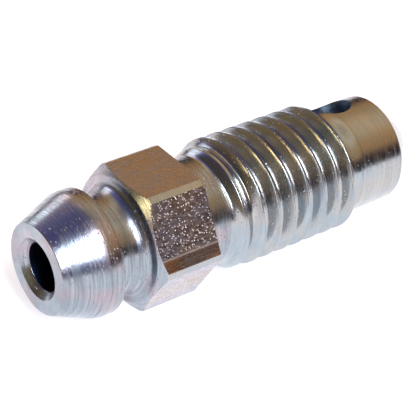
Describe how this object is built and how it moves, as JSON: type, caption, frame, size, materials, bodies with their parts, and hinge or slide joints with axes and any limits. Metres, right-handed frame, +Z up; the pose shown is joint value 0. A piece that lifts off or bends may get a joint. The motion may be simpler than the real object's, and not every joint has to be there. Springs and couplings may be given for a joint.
{
  "type": "bleeder screw",
  "caption": "Hydraulic bleeder screw with a barbed hose nipple, a chamfered hexagon, a rolled thread, a cross-drilled shank and a sealing cone.",
  "frame": {"origin": "on the table, under the middle of the screw's length and below its axis", "axes": "+X along the screw's axis from the nipple to the sealing cone, +Z up, square to the hexagon flat that lies downwards"},
  "size_m": [0.023, 0.0078, 0.0069],
  "materials": {
    "plated_steel": "turned, drawn and thread-rolled steel with a bright zinc plating"
  },
  "bodies": {
    "root": {"bleeder_screw": "plated_steel"}
  },
  "joints": []
}
